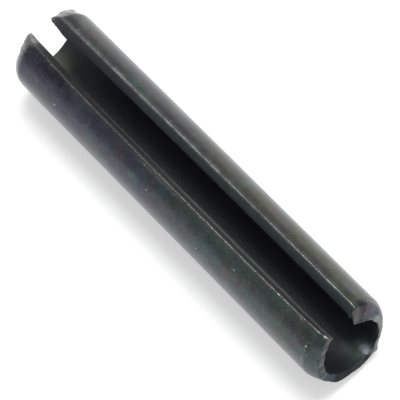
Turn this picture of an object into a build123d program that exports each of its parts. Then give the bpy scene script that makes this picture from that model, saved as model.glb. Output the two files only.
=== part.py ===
"""Slotted spring pin: one strip of spring steel, rolled into an open tube and swaged at both ends.

The pin lies along X as it comes to rest, with the slot straight up (+Z) and the origin on its
axis, in the middle of the straight shank. It is drawn free, before it is driven into its hole.
Millimetres.
"""
import os
from math import cos, radians, sin, sqrt

from build123d import *

# The rolled strip
shank_length = 30.0  # the straight part, between the two noses
pin_diameter = 6.5  # free size, for a 6 mm hole
strip_thickness = 0.75
slot_outside = 2.9  # between the strip's edges at the outer surface
slot_inside = 1.9  # between the same edges at the bore
edge_break = 0.07  # rounding on the strip's corners

# The swaged nose towards +X: the tube is drawn in, bore and all. Its lean is the face's turn
# out of square, so that the pin is shorter along its slot than along its back.
near_nose_length = 1.0
near_nose_diameter = 5.6
near_nose_wall = 0.55
near_slot_outside = 2.3
near_slot_inside = 1.6
near_lean = 6.0
near_entry = 0.4  # share of the squeeze that is reached halfway along the nose

# The nose towards -X: the wall is squeezed thin and round over a bore that stays open
far_nose_length = 1.3
far_nose_diameter = 5.6
far_nose_wall = 0.33
far_slot_outside = 2.1
far_slot_inside = 1.7
far_lean = 6.3
far_entry = 0.27


def cross_plane(x, lean=0.0):
    """A plane across the pin at x, facing +X, turned about Y by lean degrees."""
    facing = (cos(radians(lean)), 0, sin(radians(lean)))
    return Plane(origin=(x, 0, 0), x_dir=(0, 1, 0), z_dir=facing)


def strip_section(plane, diameter, wall, gap_outside, gap_inside):
    """The strip cut across: two arcs, closed beside the slot by the strip's flared edges."""
    outer = diameter / 2
    inner = outer - wall
    outer_y, inner_y = gap_outside / 2, gap_inside / 2
    outer_z = sqrt(outer**2 - outer_y**2)
    inner_z = sqrt(inner**2 - inner_y**2)
    with BuildSketch(plane) as section:
        with BuildLine():
            ThreePointArc((outer_y, outer_z), (0, -outer), (-outer_y, outer_z))
            Line((-outer_y, outer_z), (-inner_y, inner_z))
            ThreePointArc((-inner_y, inner_z), (0, -inner), (inner_y, inner_z))
            Line((inner_y, inner_z), (outer_y, outer_z))
        make_face()
        fillet(section.vertices(), edge_break)
    return section.sketch


def between(start, end, share):
    return start + (end - start) * share


def swaged_nose(root_x, tip_x, lean, entry, tip_section):
    """Three sections along a nose, from the full strip at its root to the squeezed tip."""
    shank = (pin_diameter, strip_thickness, slot_outside, slot_inside)
    sections = []
    for along, squeeze in ((0.0, 0.0), (0.5, entry), (1.0, 1.0)):
        plane = cross_plane(between(root_x, tip_x, along), lean * along)
        sizes = [between(full, tip, squeeze) for full, tip in zip(shank, tip_section)]
        sections.append(strip_section(plane, *sizes))
    return sections


near_root = shank_length / 2
far_root = -shank_length / 2
near_end = near_root + near_nose_length
far_end = far_root - far_nose_length
near_tip = (near_nose_diameter, near_nose_wall, near_slot_outside, near_slot_inside)
far_tip = (far_nose_diameter, far_nose_wall, far_slot_outside, far_slot_inside)

with BuildPart() as spring_pin:
    # the straight shank, one section all the way
    shank_section = strip_section(
        cross_plane(far_root), pin_diameter, strip_thickness, slot_outside, slot_inside
    )
    extrude(shank_section, amount=shank_length)

    # the two swaged ends
    loft(swaged_nose(near_root, near_end, near_lean, near_entry, near_tip))
    loft(swaged_nose(far_root, far_end, -far_lean, far_entry, far_tip))

spring_pin.part.label = "spring_pin"

os.makedirs("parts", exist_ok=True)
export_step(spring_pin.part, "parts/spring_pin.step")
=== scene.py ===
"""Slotted spring pin for the 3D view.

One strip of black-finished spring steel is rolled into an open tube, its ends are
swaged in, and the handling marks of a used pin are worked over it.
"""

import math

import bpy
from mathutils import Matrix, Vector, noise


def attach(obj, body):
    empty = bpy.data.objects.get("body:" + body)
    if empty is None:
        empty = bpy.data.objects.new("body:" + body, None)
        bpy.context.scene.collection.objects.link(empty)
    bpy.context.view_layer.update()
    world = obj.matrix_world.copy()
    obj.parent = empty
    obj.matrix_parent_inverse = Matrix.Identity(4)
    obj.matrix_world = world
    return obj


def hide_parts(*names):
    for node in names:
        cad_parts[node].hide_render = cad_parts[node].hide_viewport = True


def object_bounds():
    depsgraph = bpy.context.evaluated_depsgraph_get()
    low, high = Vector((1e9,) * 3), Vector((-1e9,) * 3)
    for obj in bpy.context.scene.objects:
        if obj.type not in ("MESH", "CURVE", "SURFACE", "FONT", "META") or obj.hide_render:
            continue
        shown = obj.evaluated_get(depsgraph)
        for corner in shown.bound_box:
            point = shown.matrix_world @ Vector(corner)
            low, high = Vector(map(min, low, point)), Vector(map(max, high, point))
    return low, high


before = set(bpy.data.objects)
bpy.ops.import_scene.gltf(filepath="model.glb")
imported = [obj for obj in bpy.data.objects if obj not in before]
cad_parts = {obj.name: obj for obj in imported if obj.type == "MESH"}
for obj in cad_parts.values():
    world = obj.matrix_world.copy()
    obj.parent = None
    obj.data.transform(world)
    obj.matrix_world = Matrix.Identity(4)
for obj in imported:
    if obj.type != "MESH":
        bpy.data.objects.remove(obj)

CAD_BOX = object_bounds()

bl_info = {
    "name": "Slotted Spring Pin",
    "version": (1, 0, 0),
    "blender": (4, 5, 0),
    "location": "3D View > Sidebar > Spring Pin",
    "description": "Rolls, swages and finishes one slotted spring pin",
    "category": "Add Mesh",
}

PIECE = "rolled_pin"
NODE = "spring_pin"
FINISH = "blackened_spring_steel"
MM = 0.001
DEGREE = math.radians(1.0)
WHITE = (1.0, 1.0, 1.0, 1.0)


# ---------------------------------------------------------------- nodes as Python sums


class Wire:
    """One value or vector socket that takes part in Python sums."""

    def __init__(self, bench, socket):
        self.bench = bench
        self.socket = socket

    def math(self, operation, *others):
        values = dict(enumerate((self, *others)))
        return self.bench.node("ShaderNodeMath", {"operation": operation}, values)

    def __add__(self, other):
        return self.math("ADD", other)

    def __sub__(self, other):
        return self.math("SUBTRACT", other)

    def __mul__(self, other):
        return self.math("MULTIPLY", other)

    def __truediv__(self, other):
        return self.math("DIVIDE", other)

    def __radd__(self, other):
        return self.math("ADD", other)

    def __rmul__(self, other):
        return self.math("MULTIPLY", other)

    def __rsub__(self, other):
        return self.bench.maths("SUBTRACT", other, self)

    def __rtruediv__(self, other):
        return self.bench.maths("DIVIDE", other, self)

    def least(self, other):
        return self.math("MINIMUM", other)

    def most(self, other):
        return self.math("MAXIMUM", other)

    def clipped(self):
        return self.most(0.0).least(1.0)


class Bench:
    """Places and wires nodes in one tree."""

    def __init__(self, tree):
        self.tree = tree

    def node(self, kind, settings=None, values=None, output=0):
        """Makes a node, its settings before its sockets, and gives one of its outputs."""
        made = self.tree.nodes.new(kind)
        for name, setting in (settings or {}).items():
            setattr(made, name, setting)
        for key, value in (values or {}).items():
            if isinstance(value, Wire):
                self.tree.links.new(value.socket, made.inputs[key])
            else:
                made.inputs[key].default_value = value
        return Wire(self, made.outputs[output]) if made.outputs else None

    def outputs(self, kind, values=None):
        """Makes a node and gives all its outputs."""
        first = self.node(kind, None, values)
        return [Wire(self, socket) for socket in first.socket.node.outputs]

    def maths(self, operation, first, second):
        values = {0: first, 1: second}
        return self.node("ShaderNodeMath", {"operation": operation}, values)

    def vector(self, operation, first, second=None, scale=None):
        values = {0: first}
        if second is not None:
            values[1] = second
        if scale is not None:
            values["Scale"] = scale
        return self.node("ShaderNodeVectorMath", {"operation": operation}, values)

    def combine(self, x, y, z):
        return self.node("ShaderNodeCombineXYZ", None, {0: x, 1: y, 2: z})

    def parts(self, vector):
        return self.outputs("ShaderNodeSeparateXYZ", {0: vector})

    def ramped(self, value, low, high, start=0.0, end=1.0, curve="LINEAR"):
        values = {0: value, 1: low, 2: high, 3: start, 4: end}
        return self.node("ShaderNodeMapRange", {"interpolation_type": curve}, values)

    def eased(self, value, low, high, start=0.0, end=1.0):
        return self.ramped(value, low, high, start, end, "SMOOTHSTEP")

    def followed(self, value, stops, curve="LINEAR"):
        """Amount read off a table of (value, amount) stops."""
        stops = list(stops)
        total = stops[0][1]
        for (value_a, amount_a), (value_b, amount_b) in zip(stops, stops[1:]):
            step = self.ramped(value, value_a, value_b, 0.0, amount_b - amount_a, curve)
            total = step + total
        return total

    def colour_mix(self, factor, first, second, blend="MIX"):
        settings = {"data_type": "RGBA", "blend_type": blend, "clamp_factor": True}
        values = {0: factor, 6: first, 7: second}
        return self.node("ShaderNodeMix", settings, values, output=2)

    def cloud(self, place, scale, detail=2.0, rough=0.5, output=0):
        values = {"Vector": place, "Scale": scale, "Detail": detail, "Roughness": rough}
        return self.node("ShaderNodeTexNoise", None, values, output=output)


# ---------------------------------------------------------------- sizes and colours


def length_property(label, description, default):
    return bpy.props.FloatProperty(
        name=label,
        description=description,
        default=default,
        min=0.0,
        precision=5,
        subtype="DISTANCE",
        unit="LENGTH",
    )


def colour_property(label, description, default):
    return bpy.props.FloatVectorProperty(
        name=label,
        description=description,
        default=default,
        min=0.0,
        max=1.0,
        size=3,
        subtype="COLOR",
    )


def share_property(label, description, default):
    return bpy.props.FloatProperty(
        name=label,
        description=description,
        default=default,
        min=0.0,
        max=1.0,
        subtype="FACTOR",
    )


def angle_property(label, description, default):
    return bpy.props.FloatProperty(
        name=label,
        description=description,
        default=math.radians(default),
        subtype="ANGLE",
        unit="ROTATION",
    )


class PinSizes(bpy.types.PropertyGroup):
    """Sizes of the rolled strip."""

    shank: length_property("Shank", "Length of the straight part", 0.030)
    diameter: length_property("Diameter", "Free diameter of the shank", 0.0065)
    wall: length_property("Wall", "Thickness of the strip", 0.00075)
    slot_outside: length_property("Slot outside", "Slot width at the outside", 0.0029)
    slot_inside: length_property("Slot inside", "Slot width at the bore", 0.0019)
    edge_round: length_property("Edge rounding", "Radius of the worn edges", 0.00008)
    near_nose: length_property("Near nose", "Length of the swaged near end", 0.0010)
    near_tip: length_property("Near tip diameter", "Outside diameter at the near tip", 0.0056)
    near_wall: length_property("Near wall", "Strip thickness at the near tip", 0.00055)
    near_slot_outside: length_property(
        "Near slot outside", "Outer slot width at the near tip", 0.0023
    )
    near_slot_inside: length_property(
        "Near slot inside", "Inner slot width at the near tip", 0.0016
    )
    near_entry: share_property("Near entry", "Squeeze reached halfway along the near nose", 0.4)
    near_lean: angle_property("Near lean", "Lean of the near end face along the slot", 6.0)
    near_skew: angle_property("Near skew", "Turn of the near end face across the slot", 1.6)
    far_nose: length_property("Far nose", "Length of the swaged far end", 0.0013)
    far_tip: length_property("Far tip diameter", "Outside diameter at the far tip", 0.0056)
    far_wall: length_property("Far wall", "Strip thickness at the far tip", 0.00033)
    far_slot_outside: length_property(
        "Far slot outside", "Outer slot width at the far tip", 0.0021
    )
    far_slot_inside: length_property(
        "Far slot inside", "Inner slot width at the far tip", 0.0017
    )
    far_entry: share_property("Far entry", "Squeeze reached halfway along the far nose", 0.27)
    far_lean: angle_property("Far lean", "Lean of the far end face along the slot", 6.3)
    far_skew: angle_property("Far skew", "Turn of the far end face across the slot", 2.8)


class PinFinish(bpy.types.PropertyGroup):
    """Colours of the black finish and of what shows through it, with painted light and shade."""

    blue_black: colour_property("Blue black", "Shaded side, far half", (0.058, 0.064, 0.078))
    green_black: colour_property("Green black", "Shaded side, near half", (0.066, 0.086, 0.078))
    grey_black: colour_property("Grey black", "Lit side, far half", (0.064, 0.066, 0.068))
    olive_black: colour_property("Olive black", "Lit side, near half", (0.065, 0.068, 0.053))
    # painted shade: the bore is set much darker than the outside
    bore_black: colour_property("Bore black", "Finish inside the bore", (0.015, 0.022, 0.025))
    slit_blue: colour_property("Slit blue", "Slot faces at the far half", (0.019, 0.019, 0.026))
    slit_teal: colour_property("Slit teal", "Slot faces at the near half", (0.020, 0.029, 0.031))
    # painted shade in the groove of the shaded slot face and in the near mouth
    groove_black: colour_property(
        "Groove black", "Outer half of the shaded slot face", (0.008, 0.009, 0.010)
    )
    # sheared band, lightened as painted highlight along the bore edge
    sheared_edge: colour_property(
        "Sheared edge", "Inner half of the shaded slot face", (0.044, 0.056, 0.049)
    )
    purple_cast: colour_property("Purple cast", "Oily purple tint", (0.070, 0.060, 0.086))
    green_cast: colour_property("Green cast", "Oily green tint", (0.076, 0.118, 0.096))
    teal_cast: colour_property("Teal cast", "Oily blue-green tint", (0.054, 0.082, 0.088))
    brown_cast: colour_property("Brown cast", "Brown stain", (0.092, 0.075, 0.068))
    # olive tint, lightened as painted sheen in the far mouth
    olive_cast: colour_property("Olive cast", "Olive gleam in the far mouth", (0.040, 0.043, 0.030))
    # dark patches, and the painted shade along the far rim
    blot: colour_property("Blot", "Darkest patches", (0.026, 0.022, 0.028))
    lip_brown: colour_property("Lip brown", "Sharp outer edges of the slot", (0.078, 0.068, 0.061))
    rim_black: colour_property("Rim black", "Sheared face of the near rim", (0.027, 0.033, 0.035))
    # painted light on the lit stretch of the near rim
    rim_painted_light: colour_property("Rim painted light", "Its smeared stretch on the lit side", (0.16, 0.18, 0.18))
    # the near rim, darker towards the bottom
    rim_low_black: colour_property("Rim low black", "Burred half of the near rim", (0.013, 0.018, 0.021))
    # painted highlight on the darker lower half of the near rim
    burr_blue: colour_property("Burr blue", "Brighter stretch of that rim", (0.062, 0.084, 0.102))
    ash_cast: colour_property("Ash cast", "Dry grey bloom", (0.30, 0.30, 0.29))
    # painted highlight in the near mouth
    painted_mouth_highlight: colour_property("Painted mouth highlight", "Pale patch in the near mouth", (0.62, 0.73, 0.77))
    rubbed_steel: colour_property("Rubbed steel", "Edges rubbed thin", (0.23, 0.25, 0.25))
    bare_steel: colour_property("Bare steel", "Nicks down to the steel", (0.60, 0.60, 0.57))
    roughness: share_property("Roughness", "How dull the finish is", 0.25)


class StageSettings(bpy.types.PropertyGroup):
    """Floor, lamps and camera."""

    floor: colour_property("Floor", "Colour of the floor", (0.59, 0.59, 0.59))
    sky: colour_property("Room", "Light that comes from all round", (0.72, 0.72, 0.73))
    dim_wall: colour_property("Dim wall", "The darker side of the room", (0.45, 0.45, 0.47))
    key_power: bpy.props.FloatProperty(
        name="Key lamp",
        description="Power of the main lamp",
        default=2.4,
        min=0.0,
        subtype="POWER",
        unit="POWER",
    )


# ---------------------------------------------------------------- the rolled strip

# Rows of faces between the places where their spacing changes
ALONG_ROWS = (3, 6, 16, 184, 18, 12, 3)
ACROSS_ROWS = (3, 14, 104, 14, 3)
WALL_ROWS = (3, 4, 3)
TIP_ZONE = 0.00025  # closest rows behind each end face
ROOT_ROOM = 0.0002  # close rows go on past each nose by this much
LIP_SHARE = 0.35  # of the radius, with close rows beside the slot
SWAGE_SOFTNESS = 0.09  # how gently a swage sets in at its root

# How far each edge of the slot strays from its drawn place: (x mm, degrees wider)
LEFT_OUTSIDE = (
    (-16.3, -5.0), (-15.9, -6.0), (-15.0, -4.5), (-12.5, -2.5), (-10.3, -1.3), (-7.0, -0.5),
    (0.0, -0.3), (8.0, -0.3), (13.0, -1.4), (15.0, -3.1), (15.4, -2.8), (16.0, -0.7),
)
LEFT_INSIDE = (
    (-16.3, -5.5), (-15.9, -5.7), (-15.0, -6.1), (-14.0, -5.7), (-12.5, -4.0), (-10.3, -2.7),
    (-7.0, -1.8), (0.0, -1.9), (6.0, -2.3), (13.0, -2.6), (15.0, -2.8), (16.0, -1.7),
)
RIGHT_INSIDE = (
    (-16.3, 4.4), (-15.9, -1.0), (-15.35, -3.8), (-15.0, -4.8), (-14.4, -6.7), (-14.0, -7.1),
    (-12.5, -5.0), (-10.3, -3.0), (-7.0, -2.0), (0.0, -0.9), (13.0, -0.4), (15.3, -0.6),
    (16.0, 5.5),
)
RIGHT_OUTSIDE = (
    (-16.3, 1.5), (-15.9, 0.5), (-15.0, -0.3), (-10.0, 0.0), (0.0, 0.5), (8.0, 1.0),
    (13.0, 0.7), (15.6, 0.9), (15.78, -3.0), (15.97, 2.2),
)


def row_shares(rows):
    """Shares of all the rows at which the spacing changes."""
    total = sum(rows)
    shares = [0.0]
    for count in rows:
        shares.append(shares[-1] + count / total)
    return shares


def group_input(tree, label, subtype):
    made = tree.interface.new_socket(label, in_out="INPUT", socket_type="NodeSocketFloat")
    made.subtype = subtype
    return made.identifier


def input_subtype(name):
    if name.endswith(("lean", "skew")):
        return "ANGLE"
    return "FACTOR" if name.endswith("entry") else "DISTANCE"


def rolled_strip_tree(material):
    """Geometry Nodes tree: a flat strip with rounded edges, rolled and swaged."""
    tree = bpy.data.node_groups.new("rolled_strip", "GeometryNodeTree")
    tree.is_modifier = True
    codes = {}
    for name in PinSizes.__annotations__:
        label = name.replace("_", " ").capitalize()
        codes[name] = group_input(tree, label, input_subtype(name))
    tree.interface.new_socket("Geometry", in_out="OUTPUT", socket_type="NodeSocketGeometry")
    bench = Bench(tree)
    size = dict(zip(codes, bench.outputs("NodeGroupInput")))

    block = {"Size": (1, 1, 1)}
    for axis, rows in zip("XYZ", (ALONG_ROWS, ACROSS_ROWS, WALL_ROWS)):
        block[f"Vertices {axis}"] = sum(rows) + 1
    strip = bench.node("GeometryNodeMeshCube", None, block)
    place = bench.node("GeometryNodeInputPosition")
    along_share, across_share, depth_share = (part + 0.5 for part in bench.parts(place))

    # The flat strip in metres, with closer rows where its edges are rounded.
    edge = size["edge_round"]
    wall = size["wall"]
    near_nose = size["near_nose"]
    far_nose = size["far_nose"]
    length = size["shank"] + near_nose + far_nose
    radius = size["diameter"] * 0.5
    half_slot = (size["slot_outside"] + size["slot_inside"]) * 0.25
    half_width = math.pi * (radius - wall * 0.5) - half_slot
    width = half_width * 2.0
    lip_zone = radius * LIP_SHARE
    far_rows = [0.0, edge, TIP_ZONE, far_nose + ROOT_ROOM]
    near_rows = [length - near_nose - ROOT_ROOM, length - TIP_ZONE, length - edge, length]
    across_rows = [0.0, edge, lip_zone, width - lip_zone, width - edge, width]
    wall_rows = [0.0, edge, wall - edge, wall]

    def spaced(share, counts, places):
        """The place of each row, from the share of the rows up to it."""
        return bench.followed(share, zip(row_shares(counts), places))

    along = spaced(along_share, ALONG_ROWS, far_rows + near_rows) - length * 0.5
    across = spaced(across_share, ACROSS_ROWS, across_rows) - half_width
    depth = spaced(depth_share, WALL_ROWS, wall_rows) - wall * 0.5
    flat = bench.combine(along, across, depth)
    core = bench.combine(length * 0.5 - edge, half_width - edge, wall * 0.5 - edge)
    least = bench.vector("SCALE", core, scale=-1.0)
    inner = bench.vector("MAXIMUM", bench.vector("MINIMUM", flat, core), least)
    outward = bench.vector("NORMALIZE", bench.vector("SUBTRACT", flat, inner))
    eased = bench.vector("ADD", inner, bench.vector("SCALE", outward, scale=edge))
    along, across, depth = bench.parts(eased)

    # How far each swage has drawn the tube in: softly at the root, then by its entry.
    def swage(reach, nose, entry):
        travel = (1.0 - reach / nose).clipped()
        soft = travel * travel / (travel + SWAGE_SOFTNESS) * (1.0 + SWAGE_SOFTNESS)
        # a parabola through the root, the entry halfway along and the tip
        return travel, soft * (entry * 4.0 - 1.0 + soft * (2.0 - entry * 4.0))

    near_travel, near_draw = swage(length * 0.5 - along, near_nose, size["near_entry"])
    far_travel, far_draw = swage(length * 0.5 + along, far_nose, size["far_entry"])

    def drawn(shank, near_tip, far_tip):
        return shank - near_draw * (shank - near_tip) - far_draw * (shank - far_tip)

    outer = drawn(radius, size["near_tip"] * 0.5, size["far_tip"] * 0.5)
    thick = drawn(wall, size["near_wall"], size["far_wall"])
    bore = outer - thick
    slot_outside, slot_inside = (
        drawn(size[name], size[f"near_{name}"], size[f"far_{name}"])
        for name in ("slot_outside", "slot_inside")
    )
    level = depth / wall + 0.5
    x = along + (near_nose - far_nose) * 0.5

    def strayed(slot, skin, strays):
        """Half the slot's angle at one skin of the wall, with what its edge strays by."""
        drawn_angle = (slot * 0.5 / skin).math("ARCSINE")
        return drawn_angle + bench.followed(x / MM, strays, "SMOOTHSTEP") * DEGREE

    def opening(outside, inside):
        """Half the slot's angle on one side, at this depth in the wall."""
        from_outside = strayed(slot_outside, outer, outside)
        from_inside = strayed(slot_inside, bore, inside)
        return from_inside + (from_outside - from_inside) * level

    right = opening(RIGHT_OUTSIDE, RIGHT_INSIDE)
    left = opening(LEFT_OUTSIDE, LEFT_INSIDE)
    beside = right + (left - right) * across.math("GREATER_THAN", 0.0)
    turn = math.pi + across / half_width * (math.pi - beside)
    reach = bore + thick * level
    side = reach * turn.math("SINE")
    height = reach * turn.math("COSINE")
    tangent = {
        name: size[name].math("TANGENT") for name in size if input_subtype(name) == "ANGLE"
    }
    near_face = tangent["near_lean"] * height + tangent["near_skew"] * side
    far_face = tangent["far_skew"] * side - tangent["far_lean"] * height
    rolled = bench.combine(x - near_travel * near_face - far_travel * far_face, side, height)

    # What the finish and the handling marks read from the mesh
    layers = {
        "strip_level": level,
        "strip_lip": (half_width - across.math("ABSOLUTE")) / MM,
        "near_travel": near_travel,
        "far_travel": far_travel,
    }
    store = {"data_type": "FLOAT", "domain": "POINT"}
    made = strip
    for name, value in layers.items():
        values = {"Geometry": made, "Name": name, "Value": value}
        made = bench.node("GeometryNodeStoreNamedAttribute", store, values)
    for kind, values in (
        ("SetPosition", {"Position": rolled}),
        ("SetShadeSmooth", {"Shade Smooth": True}),
        ("RealizeInstances", {}),
        ("SetMaterial", {"Material": material}),
    ):
        made = bench.node(f"GeometryNode{kind}", None, {"Geometry": made, **values})
    bench.node("NodeGroupOutput", None, {0: made})
    return tree, codes


def plain_mesh(tree, values, name):
    """The tree's result as a plain mesh on its own object."""
    holder = bpy.data.objects.new(name, bpy.data.meshes.new(name))
    bpy.context.collection.objects.link(holder)
    modifier = holder.modifiers.new("roll", "NODES")
    modifier.node_group = tree
    for code, value in values.items():
        modifier[code] = value
    graph = bpy.context.evaluated_depsgraph_get()
    baked = bpy.data.meshes.new_from_object(
        holder.evaluated_get(graph), preserve_all_data_layers=True, depsgraph=graph
    )
    holder.modifiers.remove(modifier)
    holder.data = baked
    baked.name = name
    return holder


# ---------------------------------------------------------------- swage and handling marks

# Depth of the near end's rolled-over brow: (turn in degrees from the slot, mm)
NEAR_DOME = (
    (-180, 0.0), (0, 0.0), (14, 0.72), (28, 0.76), (40, 0.80), (51, 0.74), (62, 0.58), (79, 0.36),
    (97, 0.22), (114, 0.16), (130, 0.08), (142, 0.0), (180, 0.0),
)
# How far the near tip's outer edge stands out of round: (turn, mm outwards)
NEAR_BROW = (
    (-180, 0.02), (-165, -0.02), (-153, 0.08), (-144, 0.18), (-136, 0.13), (-122, 0.02),
    (-100, 0.03), (-80, -0.02), (-50, -0.04), (-32, 0.05), (-20, 0.12), (0, 0.0), (60, 0.0),
    (82, 0.08), (100, 0.06), (114, 0.0), (128, -0.06), (140, -0.01), (148, 0.10), (158, 0.16),
    (168, 0.10), (180, 0.02),
)
# How far the near tip's mouth stands out of round: (turn, mm outwards)
NEAR_MOUTH = (
    (-180, 0.12), (-160, 0.02), (-143, 0.0), (-107, 0.03), (-75, -0.04), (-59, -0.04),
    (-42, 0.04), (-31, 0.11), (-19, 0.10), (0, 0.0), (24, -0.40), (40, -0.45), (51, -0.38),
    (62, -0.24), (79, -0.08), (97, 0.07), (107, 0.13), (120, 0.19), (135, 0.26), (150, 0.30),
    (165, 0.25), (180, 0.12),
)
# How long the near lips keep their full size before they roll in: (turn, mm)
NEAR_SHOULDER = ((-180, 0.0), (0, 0.0), (12, 0.24), (48, 0.24), (80, 0.0), (180, 0.0))
# How far the far tip's outer edge stands out of round: (turn, mm outwards)
FAR_BROW = (
    (-180, 0.0), (-100, 0.0), (-85, 0.03), (-70, -0.03), (-50, -0.08), (-38, 0.05), (-28, 0.11),
    (-21, 0.06), (-15, -0.12), (0, -0.12), (20, -0.34), (33, -0.26), (42, -0.03), (54, 0.02),
    (72, 0.12), (90, 0.05), (120, 0.0), (180, 0.0),
)
# How far the far tip's mouth stands out of round: (turn, mm outwards)
FAR_MOUTH = (
    (-180, 0.0), (-35, 0.0), (-17, 0.09), (0, 0.0), (20, -0.14), (33, -0.12), (48, 0.0),
    (180, 0.0),
)
# How far the far lips reach past their face: (turn, mm)
FAR_REACH = ((-180, 0.0), (-34, 0.0), (-17, 0.12), (0, 0.10), (23, 0.08), (40, 0.0), (180, 0.0))
# Dent behind the far rim: (turn, mm inwards)
FAR_DENT = ((-180, 0.0), (44, 0.0), (62, 0.12), (90, 0.12), (112, 0.0), (180, 0.0))
# Where each mark grows along its nose, from 0 at the root to 1 at the tip: (none, full)
NEAR_SHOULDER_RISE = (0.0, 0.9)
NEAR_SHOULDER_FALL = (1.0, 0.7)
NEAR_MOUTH_IN = (0.0, 0.95)
NEAR_TORN = (0.75, 1.0)
BURR_GROWTH = (0.6, 1.0)
FAR_DENT_RISE = (0.1, 0.65)
FAR_DENT_FALL = (1.0, 0.7)
FAR_TORN = (0.6, 1.0)
FAR_SHEARED = (0.3, 1.0)
# Waves along the torn edges: (mm, pitch per degree, start, change through the wall, seed)
NEAR_WAVES = ((0.045, 0.11, 1.2, 0.5, 5.2), (0.012, 0.42, 2.0, 0.5, 9.1))
FAR_WAVES = ((0.02, 0.15, 0.0, -1.5, 2.4),)
SHEAR_WAVES = ((0.05, 0.09, 1.5, 0.4, 3.1), (0.015, 0.33, 2.0, 0.6, 7.7))
FAR_SHEAR_SHARE = 0.5  # of that unevenness, at the far rim
DOME_START = 0.5  # share of the near nose at which its brow begins to roll over
WALL_ROLL = 1.2  # how the roll-over fades from the outside to the bore
BURR_TURN = 150.0  # where the torn burr stands, in degrees from the slot
BURR_REACH = 7.0  # degrees to either side
BURR_LENGTH = 0.06  # mm past the rim
BURR_RISE = 0.04  # mm outwards
SKIN_WAVE = 0.007  # mm that the skin strays everywhere
SKIN_PITCH = (0.45, 0.6, 0.6)  # waves per mm along each axis


def ease(value, low, high):
    """Smooth step from 0 at low to 1 at high."""
    share = min(max((value - low) / (high - low), 0.0), 1.0)
    return share * share * (3.0 - 2.0 * share)


def swell(value, centre, reach):
    """Smooth hump: 1 at the centre, 0 beyond its reach."""
    return 1.0 - ease(abs(value - centre), 0.0, reach)


def read_off(table, value):
    """Amount read off a table of (value, amount) rows, eased between them."""
    amount = table[0][1]
    for (value_a, amount_a), (value_b, amount_b) in zip(table, table[1:]):
        if value < value_b:
            return amount_a + (amount_b - amount_a) * ease(value, value_a, value_b)
        amount = amount_b
    return amount


def wander(*place):
    """Smooth random height at a place, about -1 to 1."""
    return noise.noise(Vector(place))


def torn(waves, turn, through):
    """Ragged edge at a turn and a place through the wall, mm."""
    return sum(
        size * wander(turn * pitch, start - through * change, seed)
        for size, pitch, start, change, seed in waves
    )


def near_bend(travel, turn, level):
    """Radial work of the near swage beyond its drawn nose, mm outwards."""
    rolled = min(max((travel - DOME_START) / (1.0 - DOME_START), 0.0), 1.0)
    dome = read_off(NEAR_DOME, turn) * (1.0 - math.sqrt(1.0 - rolled * rolled))
    brow = read_off(NEAR_BROW, turn) * travel
    brow += BURR_RISE * swell(turn, BURR_TURN, BURR_REACH) * ease(travel, *BURR_GROWTH)
    shoulder = read_off(NEAR_SHOULDER, turn) * ease(travel, *NEAR_SHOULDER_RISE)
    shoulder *= ease(travel, *NEAR_SHOULDER_FALL)
    mouth = read_off(NEAR_MOUTH, turn)
    mouth *= ease(travel, *NEAR_MOUTH_IN) if mouth < 0.0 else travel * travel
    depth = 1.0 - level
    bend = level**WALL_ROLL * (brow - dome) + depth * mouth + shoulder
    return bend + torn(NEAR_WAVES, turn, depth) * ease(travel, *NEAR_TORN)


def far_bend(travel, turn, level):
    """Radial work of the far swage beyond its drawn nose, mm outwards."""
    brow = read_off(FAR_BROW, turn)
    mouth = read_off(FAR_MOUTH, turn)
    dent = read_off(FAR_DENT, turn) * ease(travel, *FAR_DENT_RISE) * ease(travel, *FAR_DENT_FALL)
    bend = (level * brow + (1.0 - level) * mouth) * travel * travel
    return bend - dent + torn(FAR_WAVES, turn, level) * ease(travel, *FAR_TORN)


def rim_run(near_travel, far_travel, turn, level):
    """Uneven shearing of both rims, mm along the pin."""
    rough = torn(SHEAR_WAVES, turn, 1.0 - level)
    burr = BURR_LENGTH * swell(turn, BURR_TURN, BURR_REACH)
    near = ease(near_travel, *BURR_GROWTH) * (rough + burr)
    far = FAR_SHEAR_SHARE * rough + read_off(FAR_REACH, turn)
    return near - ease(far_travel, *FAR_SHEARED) * far


def work_marks(mesh):
    """Moves the rolled mesh's points by what the swages and handling did to the pin."""
    names = ("near_travel", "far_travel", "strip_level")
    layers = [mesh.attributes[name].data for name in names]
    for vertex, *marks in zip(mesh.vertices, *layers):
        near, far, level = (mark.value for mark in marks)
        x, y, z = vertex.co / MM
        radius = math.hypot(y, z)
        turn = math.degrees(math.atan2(y, z))
        bend = SKIN_WAVE * wander(*(at * pitch for at, pitch in zip((x, y, z), SKIN_PITCH)))
        if near > 0.0:
            bend += near_bend(near, turn, level)
        if far > 0.0:
            bend += far_bend(far, turn, level)
        grow = (radius + bend) / radius
        x += rim_run(near, far, turn, level)
        vertex.co = Vector((x, y * grow, z * grow)) * MM
    mesh.update()


# ---------------------------------------------------------------- finish

# Soft casts in the outside's finish: (x mm, turn, reach along mm, reach round in degrees, strength)
PURPLE_PLACES = (
    (-12.0, -34.0, 3.6, 9.0, 0.5),
    (-14.2, -46.0, 1.4, 12.0, 0.5),
    (-5.6, -34.0, 3.8, 8.0, 0.45),
    (-13.2, 33.0, 1.3, 5.0, 0.6),
    (-4.6, -56.0, 0.6, 5.0, 0.6),
    (2.0, -50.0, 1.2, 8.0, 0.4),
    (16.0, 62.0, 0.7, 34.0, 0.8),
)
GREEN_PLACES = (
    (-7.2, 35.5, 1.8, 6.5, 0.7),
    (14.0, 44.0, 0.9, 7.0, 0.5),
    (6.6, -30.0, 4.6, 7.5, 0.75),
    (12.0, -30.0, 2.6, 7.0, 0.7),
    (-3.0, -53.0, 0.7, 6.0, 0.7),
)
TEAL_PLACES = (
    (4.9, -51.0, 1.9, 10.0, 0.7),
    (15.3, -62.0, 1.2, 44.0, 0.5),
    (8.6, -58.0, 1.4, 10.0, 0.4),
    (15.8, 72.0, 0.6, 18.0, 0.5),
)
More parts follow.
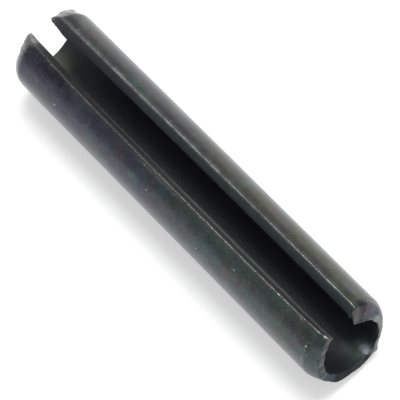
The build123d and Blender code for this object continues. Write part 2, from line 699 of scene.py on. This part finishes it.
BROWN_PLACES = (
    (-13.0, 40.0, 2.3, 11.0, 0.4),
    (6.9, -55.0, 0.45, 12.0, 0.5),
    (12.0, -45.0, 0.3, 2.5, 0.8),
    (9.2, -44.0, 1.0, 4.0, 0.4),
    (-14.3, -30.4, 0.35, 2.5, 0.6),
    (-13.7, 31.2, 0.45, 2.5, 0.7),
    (6.2, 45.0, 1.3, 12.0, 0.35),
    (13.4, -34.0, 1.0, 8.0, 0.3),
    (14.3, -52.0, 0.7, 9.0, 0.4),
)
DARK_PLACES = (
    (-12.3, -31.0, 2.4, 9.0, 0.55),
    (15.45, 42.0, 0.46, 8.0, 1.0),
    (15.75, 27.0, 0.45, 6.0, 0.6),
    (14.5, -36.0, 0.50, 8.0, 0.30),
    (14.85, -48.0, 0.50, 7.0, 0.30),
    (-14.6, 33.0, 0.7, 7.0, 0.4),
)
ASH_PLACES = (
    (-1.3, -29.5, 2.8, 3.6, 0.15),
    (-15.45, -22.0, 0.62, 6.0, 0.85),
)
# Places where bright flecks gather
FLECK_PLACES = (
    (-1.3, -29.0, 2.9, 4.0, 1.0),
    (3.6, -27.5, 2.4, 2.5, 0.8),
    (9.2, -40.0, 1.8, 9.0, 0.5),
    (15.0, -50.0, 0.30, 30.0, 1.0),
    (16.1, -62.0, 0.45, 50.0, 0.55),
    (13.7, -27.0, 0.7, 2.5, 1.0),
    (15.7, 30.0, 0.40, 6.0, 0.5),
    (-16.0, -30.0, 0.50, 20.0, 0.8),
    (-16.0, 40.0, 0.50, 30.0, 0.8),
)
# Painted highlights on the darker lower half of the near rim
RIM_LOW_HIGHLIGHT_PLACES = (
    (16.3, -116.0, 0.8, 17.0, 1.0),
    (16.3, -178.0, 0.8, 15.0, 0.5),
    (16.3, 182.0, 0.8, 15.0, 0.5),
)
# Soft casts inside the bore, with painted light and shade among them
# painted highlight in the near mouth
PAINTED_HIGHLIGHT_BORE_PLACES = (
    (15.65, 158.0, 0.95, 17.0, 0.08),
    (15.65, 158.0, 0.75, 11.5, 0.20),
    (15.75, 159.0, 0.52, 7.5, 0.46),
    (15.92, 160.0, 0.30, 4.5, 0.68),
    (15.90, 112.0, 0.25, 16.0, 0.07),
)
GREEN_BORE_PLACES = ((15.2, 172.0, 0.8, 15.0, 0.75), (15.2, -188.0, 0.8, 15.0, 0.75))
BROWN_BORE_PLACES = ((14.4, 176.0, 0.5, 7.0, 0.35), (14.4, -184.0, 0.5, 7.0, 0.35))
# painted shade on the shaded side of the near mouth
SHADE_BORE_PLACES = ((15.4, -146.0, 1.5, 26.0, 0.75),)
# olive tint with painted sheen in the far mouth
OLIVE_SHEEN_BORE_PLACES = ((-15.6, 173.0, 1.3, 20.0, 1.0), (-15.6, -187.0, 1.3, 20.0, 1.0))
# Nicks that shine: (x, y, z, radius) in mm
NICKS = (
    (-9.29, 1.39, 2.94, 0.05),
    (-3.49, 1.455, 2.905, 0.06),
    (0.44, 1.44, 2.914, 0.045),
    (3.23, 1.455, 2.905, 0.055),
    (-13.69, 1.68, 2.78, 0.06),
    (-2.47, -1.62, 2.82, 0.07),
    (0.67, -1.63, 2.81, 0.06),
    (4.41, -1.41, 2.93, 0.05),
    (5.88, -1.43, 2.92, 0.045),
    (11.24, -1.39, 2.94, 0.06),
    (13.6, -1.48, 2.89, 0.06),
    (-1.4, -2.60, 1.95, 0.07),
    (-11.2, -2.90, 1.47, 0.08),
    (4.0, -2.92, 1.42, 0.07),
    (7.5, -2.28, 2.32, 0.08),
    (14.9, -2.40, 2.15, 0.10),
    (15.55, -1.20, 2.72, 0.16),
    (15.70, -1.05, 2.66, 0.12),
)
NICK_SHAKE = 0.16  # mm that a nick's outline is torn
NICK_CORE = 0.4  # share of a nick's radius that is bright
NICK_STRENGTH = 0.7
PATCH_EDGE = (1.25, 0.35)  # where a patch fades in, in its own reaches

# Noise: (cells per mm, detail, roughness)
BROAD_NOISE = (0.45, 3.0, 0.55)
MOTTLE_NOISE = (0.95, 4.0, 0.62)
BLOTCH_NOISE = (1.6, 4.0, 0.6)
DRIFT_NOISE = (2.4, 3.0, 0.6)
GRAIN_NOISE = (9.0, 3.0, 0.65)
SPECK_NOISE = (13.0, 2.0, 0.6)
NICK_NOISE = (14.0, 1.0)  # with the usual roughness

# Ranges over which a mark sets in: (from, to), or (from, to, amount at from, amount at to).
# They are read on the wall's level (0 bore, 1 outside), ...
BORE_LEVEL = (0.35, 0.06)
SLIT_LEVEL = (0.97, 0.88)
SKIN_LEVEL = (0.80, 0.97)
SHEARED_SHEEN_NEAR_LEVEL = (0.64, 0.36)
SHEARED_SHEEN_FAR_LEVEL = (0.42, 0.25)
# ... on the way in from the slot's edge (mm), ...
SLIT_EDGE = (0.05, 0.02)
SHARP_EDGE = (0.10, 0.03)
LEFT_RUB_EDGE = (0.24, 0.02)
RIGHT_RUB_EDGE = (0.36, 0.02)
# ... on a nose's travel (0 root, 1 tip), ...
NEAR_RIM = (0.93, 0.985)
FAR_RIM_SHADE = (0.80, 0.90)
CHAMFER_START = (0.12, 0.34)
CHAMFER_OFF_SLIT = (0.8, 0.5)
SHARP_LIP_END = (0.45, 0.10)
# ... along the pin (x in mm), ...
NEAR_HALF = (-3.0, 3.0)
SLIT_NEAR_HALF = (-10.0, -5.0)
SHEARED_SHEEN_NEAR = (-5.0, 1.5)
SHEARED_SHEEN_FAR = (-13.0, -7.0, 0.15, 0.6)
STAIN_RUN = (-10.0, -2.0, 0.25, 0.38)
LEFT_RUB_RUN = (-2.0, 1.0, 0.04, 0.18)
RIGHT_RUB_RUN = (0.0, 4.0, 0.75, 0.30)
RIGHT_RUB_FAR_END = (-12.0, -9.5, 0.65, 1.0)
RIGHT_RUB_NEAR_END = (14.6, 13.0, 0.5, 1.0)
# ... across it (y in mm), ...
SHADED_SIDE = (0.8, -0.8)
FAR_RIM_SHADE_SIDE = (-0.6, 0.6, 0.2, 0.8)
GRAIN_SIDE = (-0.5, 0.8, 1.3, 0.7)
# ... up it (z in mm), ...
CHAMFER_TOP = (0.2, 1.4)
RIM_LOW_BELOW = (-0.3, -1.6)
RIM_RUB_TOP = (-1.0, 1.0, 0.02, 0.08)
# ... round it (degrees from the slot), ...
SHADED_LIP = (0.0, -5.0)
LEFT_BLOOM = (-50.0, -28.0, 0.14, 0.68)
RIGHT_BLOOM = (22.0, 42.0, 0.28, 0.55)
RIM_LIT_START = (60.0, 84.0)
RIM_LIT_END = (166.0, 146.0)
DRIFT_FLANK = (-34.0, -46.0, 0.25, 1.0)
# painted shade: the finish darkens round the lower shaded flank
PAINTED_SHADE_FLANK = (-42.0, -62.0, 1.0, 0.86)
# ... and on a noise or a mask.
PURPLE_BROAD = (0.52, 0.68, 0.0, 0.45)
GREEN_BROAD = (0.47, 0.34, 0.0, 0.35)
BLOOM_GRAIN = (0.36, 0.60, 0.5, 1.0)
WORKED_SIDE = (0.0, 1.0, 0.35, 1.0)
STAIN_MOTTLE = (0.52, 0.64)
TEAL_MOTTLE = (0.46, 0.35, 0.0, 0.4)
PURPLE_DRIFT = (0.50, 0.62, 0.0, 0.5)
LIP_GRAIN = (0.60, 0.42, 0.0, 0.6)
RUB_WEAR = (0.44, 0.66, 0.2, 1.0)
FLECK_SPECK = (0.58, 0.68, 0.0, 0.5)

# How strongly each noise shifts a border or a tone
PATCH_BLOTCH = 1.6
PATCH_GRAIN = 0.9
SIDE_WANDER = 2.0  # mm
HALF_WANDER = 8.0  # mm
CHAMFER_WANDER = 0.5
LIP_WANDER = 0.6
TONE_BLOTCH = 0.9
WEAR_BLOTCH = 0.4
WEAR_GRAIN = 0.7
RELIEF_BLOTCH = 0.35
RELIEF_GRAIN = 0.4
RELIEF_SPECK = 0.25
# How far a mark covers or spares what lies under it
RIM_COVER = 0.9
RIM_SPARED = 0.8
LIP_COVER = 0.8
FAR_NOSE_SPARED = 0.7
# What dulls the finish, and how rough and bare it is
INSIDE_DULL = 0.25
ASH_DULL = 0.25
BURR_DULL = 0.45
ROUGH_BLOTCH = 0.12
ROUGH_GRAIN = 0.14
METAL = 0.9
INSIDE_METAL_LOSS = 0.7
BUMP_STRENGTH = 0.25
BUMP_DEPTH = 0.00003


def places_mask(bench, x, turn, wobble, places):
    """Union of soft ragged patches on the rolled surface."""
    total = None
    for centre_x, centre_turn, reach_x, reach_turn, strength in places:
        off_x = (x - centre_x) / reach_x
        off_turn = (turn - centre_turn) / reach_turn
        far = (off_x * off_x + off_turn * off_turn).math("SQRT") + wobble
        mask = bench.eased(far, *PATCH_EDGE, 0.0, strength)
        total = mask if total is None else total.most(mask)
    return total


def nicks_mask(bench, place):
    """Small bright nicks with torn outlines."""
    jitter = bench.cloud(place, *NICK_NOISE, output=1)
    jitter = bench.vector("SUBTRACT", jitter, (0.5, 0.5, 0.5))
    shaken = bench.vector("ADD", place, bench.vector("SCALE", jitter, scale=NICK_SHAKE))
    settings = {"operation": "DISTANCE"}
    total = None
    for *centre, radius in NICKS:
        apart = bench.node("ShaderNodeVectorMath", settings, {0: shaken, 1: centre}, output=1)
        mask = bench.eased(apart, radius, radius * NICK_CORE, 0.0, NICK_STRENGTH)
        total = mask if total is None else total.most(mask)
    return total


def opaque(colour):
    return (*colour, 1.0)


def cleared_bench(owner):
    """Bench for the nodes of a new material or world."""
    owner.use_nodes = True
    owner.node_tree.nodes.clear()
    return Bench(owner.node_tree)


def blackened_steel(finish):
    """Black-finished steel: oily casts, rubbed lips and bright nicks, with painted light and shade.
    """
    material = bpy.data.materials.new(FINISH)
    bench = cleared_bench(material)

    def layer(name):
        return bench.node("ShaderNodeAttribute", {"attribute_name": name}, output=2)

    def tinted(colour, mask, tint):
        return bench.colour_mix(mask, colour, opaque(tint))

    coordinates = bench.node("ShaderNodeTexCoord", output="Object")
    place = bench.vector("SCALE", coordinates, scale=1.0 / MM)
    x, y, z = bench.parts(place)
    turn = bench.maths("ARCTAN2", y, z) * math.degrees(1.0)
    level = layer("strip_level")
    lip = layer("strip_lip")
    near_travel = layer("near_travel")
    far_travel = layer("far_travel")

    broad = bench.cloud(place, *BROAD_NOISE)
    blotch = bench.cloud(place, *BLOTCH_NOISE)
    grain = bench.cloud(place, *GRAIN_NOISE)
    speck = bench.cloud(place, *SPECK_NOISE)
    sweep = broad - 0.5
    uneven = blotch - 0.5
    grit = grain - 0.5
    wobble = uneven * PATCH_BLOTCH + grit * PATCH_GRAIN

    def patches(colour, places, tint):
        return tinted(colour, places_mask(bench, x, turn, wobble, places), tint)

    # where on the strip: bore, slot faces, lips and rims
    inside = bench.eased(level, *BORE_LEVEL)
    slit = bench.eased(lip, *SLIT_EDGE) * bench.eased(level, *SLIT_LEVEL)
    outside = bench.eased(level, *SKIN_LEVEL)
    near_rim = bench.eased(near_travel, *NEAR_RIM)
    shaded_side = bench.eased(y + sweep * SIDE_WANDER, *SHADED_SIDE)
    shaded_lip = bench.eased(turn, *SHADED_LIP)
    near_half = bench.eased(x + sweep * HALF_WANDER, *NEAR_HALF)

    def by_lip(left, right):
        return shaded_lip * left + (1.0 - shaded_lip) * right

    # the outside: blue and green blacks on the shaded side, grey and olive on the lit one
    lit = bench.colour_mix(near_half, opaque(finish.grey_black), opaque(finish.olive_black))
    shaded = bench.colour_mix(near_half, opaque(finish.blue_black), opaque(finish.green_black))
    colour = bench.colour_mix(shaded_side, lit, shaded)
    colour = tinted(colour, bench.eased(broad, *PURPLE_BROAD), finish.purple_cast)
    colour = tinted(colour, bench.eased(broad, *GREEN_BROAD), finish.green_cast)
    for places, tint in (
        (PURPLE_PLACES, finish.purple_cast),
        (GREEN_PLACES, finish.green_cast),
        (TEAL_PLACES, finish.teal_cast),
        (BROWN_PLACES, finish.brown_cast),
        (DARK_PLACES, finish.blot),
    ):
        colour = patches(colour, places, tint)
    ash = places_mask(bench, x, turn, wobble, ASH_PLACES)

    # the bore, darkened as painted shade
    bore = opaque(finish.bore_black)
    for places, tint in (
        (GREEN_BORE_PLACES, finish.green_cast),
        (BROWN_BORE_PLACES, finish.brown_cast),
        (OLIVE_SHEEN_BORE_PLACES, finish.olive_cast),
        (SHADE_BORE_PLACES, finish.groove_black),
        (PAINTED_HIGHLIGHT_BORE_PLACES, finish.painted_mouth_highlight),
    ):
        bore = patches(bore, places, tint)
    colour = bench.colour_mix(inside, colour, bore)

    # the slot's faces: painted shade on the outer half of the shaded one, and a sheared band with
    # painted highlight on its inner half
    slit_half = bench.eased(x, *SLIT_NEAR_HALF)
    slit_colour = tinted(opaque(finish.slit_blue), slit_half, finish.slit_teal)
    # painted shade on the outer half of the shaded slot face
    slit_colour = tinted(slit_colour, shaded_lip, finish.groove_black)
    sheared_sheen = bench.eased(level, *SHEARED_SHEEN_NEAR_LEVEL) * bench.eased(x, *SHEARED_SHEEN_NEAR)
    far_sheared_sheen = bench.eased(level, *SHEARED_SHEEN_FAR_LEVEL) * bench.eased(x, *SHEARED_SHEEN_FAR)
    sheared_sheen = sheared_sheen.most(far_sheared_sheen)
    # painted highlight along the inner half of the shaded slot face
    slit_colour = tinted(slit_colour, sheared_sheen * shaded_lip, finish.sheared_edge)
    colour = bench.colour_mix(slit, colour, slit_colour)

    # grey bloom on the far chamfer, and painted shade along the far rim
    chamfer = bench.eased(far_travel + grit * CHAMFER_WANDER, *CHAMFER_START)
    chamfer = chamfer * bench.eased(z, *CHAMFER_TOP)
    left_bloom = bench.eased(turn, *LEFT_BLOOM)
    right_bloom = bench.eased(turn, *RIGHT_BLOOM)
    chamfer = chamfer * by_lip(left_bloom, right_bloom)
    chamfer = chamfer * (1.0 - slit * bench.eased(far_travel, *CHAMFER_OFF_SLIT))
    bloom = ash.most(chamfer) * bench.eased(grain, *BLOOM_GRAIN)
    colour = tinted(colour, bloom * (1.0 - inside), finish.ash_cast)
    far_rim_shade = bench.eased(far_travel, *FAR_RIM_SHADE) * outside * bench.eased(y, *FAR_RIM_SHADE_SIDE)
    colour = tinted(colour, far_rim_shade, finish.blot)

    # the near rim: painted light on its lit stretch, darker towards the bottom, with painted
    # highlights there
    rim_lit_stretch = bench.eased(turn, *RIM_LIT_START) * bench.eased(turn, *RIM_LIT_END)
    rim_low_colour = patches(opaque(finish.rim_low_black), RIM_LOW_HIGHLIGHT_PLACES, finish.burr_blue)
    rim_low = bench.eased(z, *RIM_LOW_BELOW) * (1.0 - rim_lit_stretch)
    rim_colour = bench.colour_mix(rim_low, opaque(finish.rim_black), rim_low_colour)
    rim_colour = tinted(rim_colour, rim_lit_stretch, finish.rim_painted_light)
    colour = bench.colour_mix(near_rim * RIM_COVER, colour, rim_colour)

    # unevenness of the finish
    mottle = bench.cloud(place, *MOTTLE_NOISE)
    drift = bench.cloud(place, *DRIFT_NOISE)
    worked = (1.0 - inside) * (1.0 - slit) * (1.0 - near_rim * RIM_SPARED)
    worked = worked * bench.eased(shaded_side, *WORKED_SIDE)
    stain = bench.eased(mottle, *STAIN_MOTTLE) * bench.eased(x, *STAIN_RUN)
    colour = tinted(colour, stain * worked, finish.brown_cast)
    colour = tinted(colour, bench.eased(mottle, *TEAL_MOTTLE) * worked, finish.teal_cast)
    drifted = bench.eased(drift, *PURPLE_DRIFT) * bench.eased(turn, *DRIFT_FLANK)
    colour = tinted(colour, drifted * worked, finish.purple_cast)
    sharp_lip = bench.eased(lip, *SHARP_EDGE) * outside * shaded_lip
    sharp_lip = sharp_lip * bench.eased(far_travel, *SHARP_LIP_END)
    colour = tinted(colour, sharp_lip * LIP_COVER, finish.lip_brown)
    tone = 1.0 + uneven * TONE_BLOTCH + grit * bench.eased(y, *GRAIN_SIDE)
    # painted shade on the lower shaded flank
    tone = tone * bench.eased(turn, *PAINTED_SHADE_FLANK)
    lip_gaps = bench.eased(grain + (speck - 0.5) * LIP_WANDER, *LIP_GRAIN)
    tone = tone * (1.0 - sharp_lip * lip_gaps)
    colour = bench.colour_mix(1.0, colour, bench.combine(tone, tone, tone), "MULTIPLY")

    # lips and rims rubbed thin, flecks, then nicks down to the steel
    worn = bench.eased(blotch * WEAR_BLOTCH + grain * WEAR_GRAIN, *RUB_WEAR)
    left_rub = bench.eased(lip, *LEFT_RUB_EDGE) * bench.eased(x, *LEFT_RUB_RUN)
    right_rub = bench.eased(lip, *RIGHT_RUB_EDGE)
    for run in (RIGHT_RUB_RUN, RIGHT_RUB_FAR_END, RIGHT_RUB_NEAR_END):
        right_rub = right_rub * bench.eased(x, *run)
    rub = by_lip(left_rub, right_rub) * outside * worn
    rub = rub * (1.0 - near_travel) * (1.0 - far_travel * FAR_NOSE_SPARED)
    rub = rub.most(near_rim * worn * bench.eased(z, *RIM_RUB_TOP)).clipped()
    colour = tinted(colour, rub, finish.rubbed_steel)
    flecks = places_mask(bench, x, turn, wobble, FLECK_PLACES)
    flecks = flecks * bench.eased(speck, *FLECK_SPECK)
    colour = tinted(colour, flecks * (1.0 - inside), finish.bare_steel)
    colour = tinted(colour, nicks_mask(bench, place), finish.bare_steel)

    hidden = inside.most(slit)
    dull = hidden * INSIDE_DULL + ash * ASH_DULL + near_rim * rim_low * BURR_DULL
    roughness = finish.roughness + dull.clipped() + uneven * ROUGH_BLOTCH + grit * ROUGH_GRAIN
    height = blotch * RELIEF_BLOTCH + grain * RELIEF_GRAIN + speck * RELIEF_SPECK
    relief = {"Strength": BUMP_STRENGTH, "Distance": BUMP_DEPTH, "Height": height}
    look = {
        "Base Color": colour,
        "Metallic": METAL - hidden * INSIDE_METAL_LOSS,
        "Roughness": roughness.clipped(),
        "Normal": bench.node("ShaderNodeBump", None, relief),
    }
    shader = bench.node("ShaderNodeBsdfPrincipled", None, look)
    bench.node("ShaderNodeOutputMaterial", None, {"Surface": shader})
    return material


# ---------------------------------------------------------------- stage

CAMERA_PLACE = (0.1066415, -0.0331171, 0.2028627)
CAMERA_RIGHT = (0.62825648, 0.75018680, -0.20618817)
CAMERA_UP = (-0.62894458, 0.64572367, 0.43297766)
CAMERA_BACK = (0.45795471, -0.14234009, 0.87750600)
CAMERA_LENS = 312.93
CAMERA_SENSOR = 36.0
CAMERA_CLIP = (0.01, 10.0)
KEY_PLACE = (-0.04, 0.17, 0.42)
KEY_SIZE = 0.30
FLOOR_HALF = 1.2
FLOOR_GLOW = 0.46
# Where the room grows dim, by how high and how far to one side a direction points
DIM_ABOVE = (0.17, 0.25)
DIM_TOWARDS = (0.15, -0.25)


def seen_directly(bench):
    """1 for camera, mirror and glass rays, 0 for light that bounces about."""
    seen = bench.node("ShaderNodeLightPath", output="Is Camera Ray")
    for name in ("Is Glossy Ray", "Is Transmission Ray"):
        seen = seen.most(bench.node("ShaderNodeLightPath", output=name))
    return seen


def floor_material(stage):
    material = bpy.data.materials.new("pale_floor")
    bench = cleared_bench(material)
    matt = bench.node("ShaderNodeBsdfDiffuse", None, {"Color": opaque(stage.floor)})
    strength = seen_directly(bench) * FLOOR_GLOW
    glow = bench.node("ShaderNodeEmission", None, {"Color": WHITE, "Strength": strength})
    both = bench.node("ShaderNodeAddShader", None, {0: matt, 1: glow})
    bench.node("ShaderNodeOutputMaterial", None, {"Surface": both})
    return material


def lay_floor(stage):
    level = CAD_BOX[0].z
    mesh = bpy.data.meshes.new("floor")
    signs = [(-1, -1), (1, -1), (1, 1), (-1, 1)]
    corners = [(a * FLOOR_HALF, b * FLOOR_HALF, level) for a, b in signs]
    mesh.from_pydata(corners, [], [(0, 1, 2, 3)])
    floor = bpy.data.objects.new("floor", mesh)
    mesh.materials.append(floor_material(stage))
    bpy.context.collection.objects.link(floor)


def hang_lamp(name, place, size, power):
    data = bpy.data.lights.new(name, "AREA")
    data.shape = "DISK"
    data.size = size
    data.energy = power
    lamp = bpy.data.objects.new(name, data)
    lamp.location = place
    lamp.rotation_mode = "QUATERNION"
    lamp.rotation_quaternion = (-Vector(place)).to_track_quat("-Z", "Y")
    bpy.context.collection.objects.link(lamp)


def light_room(stage):
    """Even room light, with a dimmer wall above the pale one on the shaded side."""
    world = bpy.data.worlds.new("room")
    bpy.context.scene.world = world
    bench = cleared_bench(world)
    heading = bench.node("ShaderNodeTexCoord", output="Generated")
    _, y, z = bench.parts(heading)
    dim = bench.eased(z, *DIM_ABOVE) * bench.eased(y, *DIM_TOWARDS)
    colour = bench.colour_mix(dim, opaque(stage.sky), opaque(stage.dim_wall))
    by_camera = bench.node("ShaderNodeLightPath", output="Is Camera Ray")
    colour = bench.colour_mix(by_camera, colour, WHITE)
    glow = bench.node("ShaderNodeBackground", None, {"Color": colour, "Strength": 1.0})
    bench.node("ShaderNodeOutputWorld", None, {"Surface": glow})


def stand_camera():
    data = bpy.data.cameras.new("camera")
    data.lens = CAMERA_LENS
    data.sensor_width = CAMERA_SENSOR
    data.clip_start, data.clip_end = CAMERA_CLIP
    camera = bpy.data.objects.new("camera", data)
    turn = Matrix((CAMERA_RIGHT, CAMERA_UP, CAMERA_BACK)).transposed()
    camera.matrix_world = Matrix.Translation(CAMERA_PLACE) @ turn.to_4x4()
    bpy.context.collection.objects.link(camera)
    bpy.context.scene.camera = camera


# ---------------------------------------------------------------- add-on


class MESH_OT_rolled_pin(bpy.types.Operator):
    """Roll, swage and finish the pin"""

    bl_idname = "mesh.rolled_pin"
    bl_label = "Rolled pin"

    def execute(self, context):
        sizes = context.scene.pin_sizes
        material = blackened_steel(context.scene.pin_finish)
        tree, codes = rolled_strip_tree(material)
        values = {code: getattr(sizes, name) for name, code in codes.items()}
        pin = plain_mesh(tree, values, PIECE)
        if not pin.data.polygons:
            raise RuntimeError("the rolled strip came out empty")
        work_marks(pin.data)
        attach(pin, "root")
        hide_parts(NODE)
        return {"FINISHED"}


class SCENE_OT_pin_stage(bpy.types.Operator):
    """Lay the floor, hang the lamps and stand the camera"""

    bl_idname = "scene.pin_stage"
    bl_label = "Stage"

    def execute(self, context):
        stage = context.scene.pin_stage_settings
        context.scene.view_settings.view_transform = "Standard"
        lay_floor(stage)
        light_room(stage)
        hang_lamp("key_lamp", KEY_PLACE, KEY_SIZE, stage.key_power)
        stand_camera()
        return {"FINISHED"}


class VIEW3D_PT_spring_pin(bpy.types.Panel):
    """Lists the pin's sizes and colours and the stage's settings"""

    bl_label = "Spring Pin"
    bl_idname = "VIEW3D_PT_spring_pin"
    bl_space_type = "VIEW_3D"
    bl_region_type = "UI"
    bl_category = "Spring Pin"

    def draw(self, context):
        layout = self.layout
        scene = context.scene
        for group, operator in (
            (scene.pin_sizes, MESH_OT_rolled_pin),
            (scene.pin_finish, None),
            (scene.pin_stage_settings, SCENE_OT_pin_stage),
        ):
            box = layout.box()
            for name in type(group).__annotations__:
                box.prop(group, name)
            if operator:
                box.operator(operator.bl_idname)


CLASSES = (
    PinSizes,
    PinFinish,
    StageSettings,
    MESH_OT_rolled_pin,
    SCENE_OT_pin_stage,
    VIEW3D_PT_spring_pin,
)
GROUPS = {
    "pin_sizes": PinSizes,
    "pin_finish": PinFinish,
    "pin_stage_settings": StageSettings,
}


def register():
    for item in CLASSES:
        bpy.utils.register_class(item)
    for name, group in GROUPS.items():
        setattr(bpy.types.Scene, name, bpy.props.PointerProperty(type=group))


def unregister():
    for name in GROUPS:
        delattr(bpy.types.Scene, name)
    for item in reversed(CLASSES):
        bpy.utils.unregister_class(item)


def main():
    register()
    bpy.ops.scene.pin_stage()
    bpy.ops.mesh.rolled_pin()


if __name__ == "__main__":
    main()
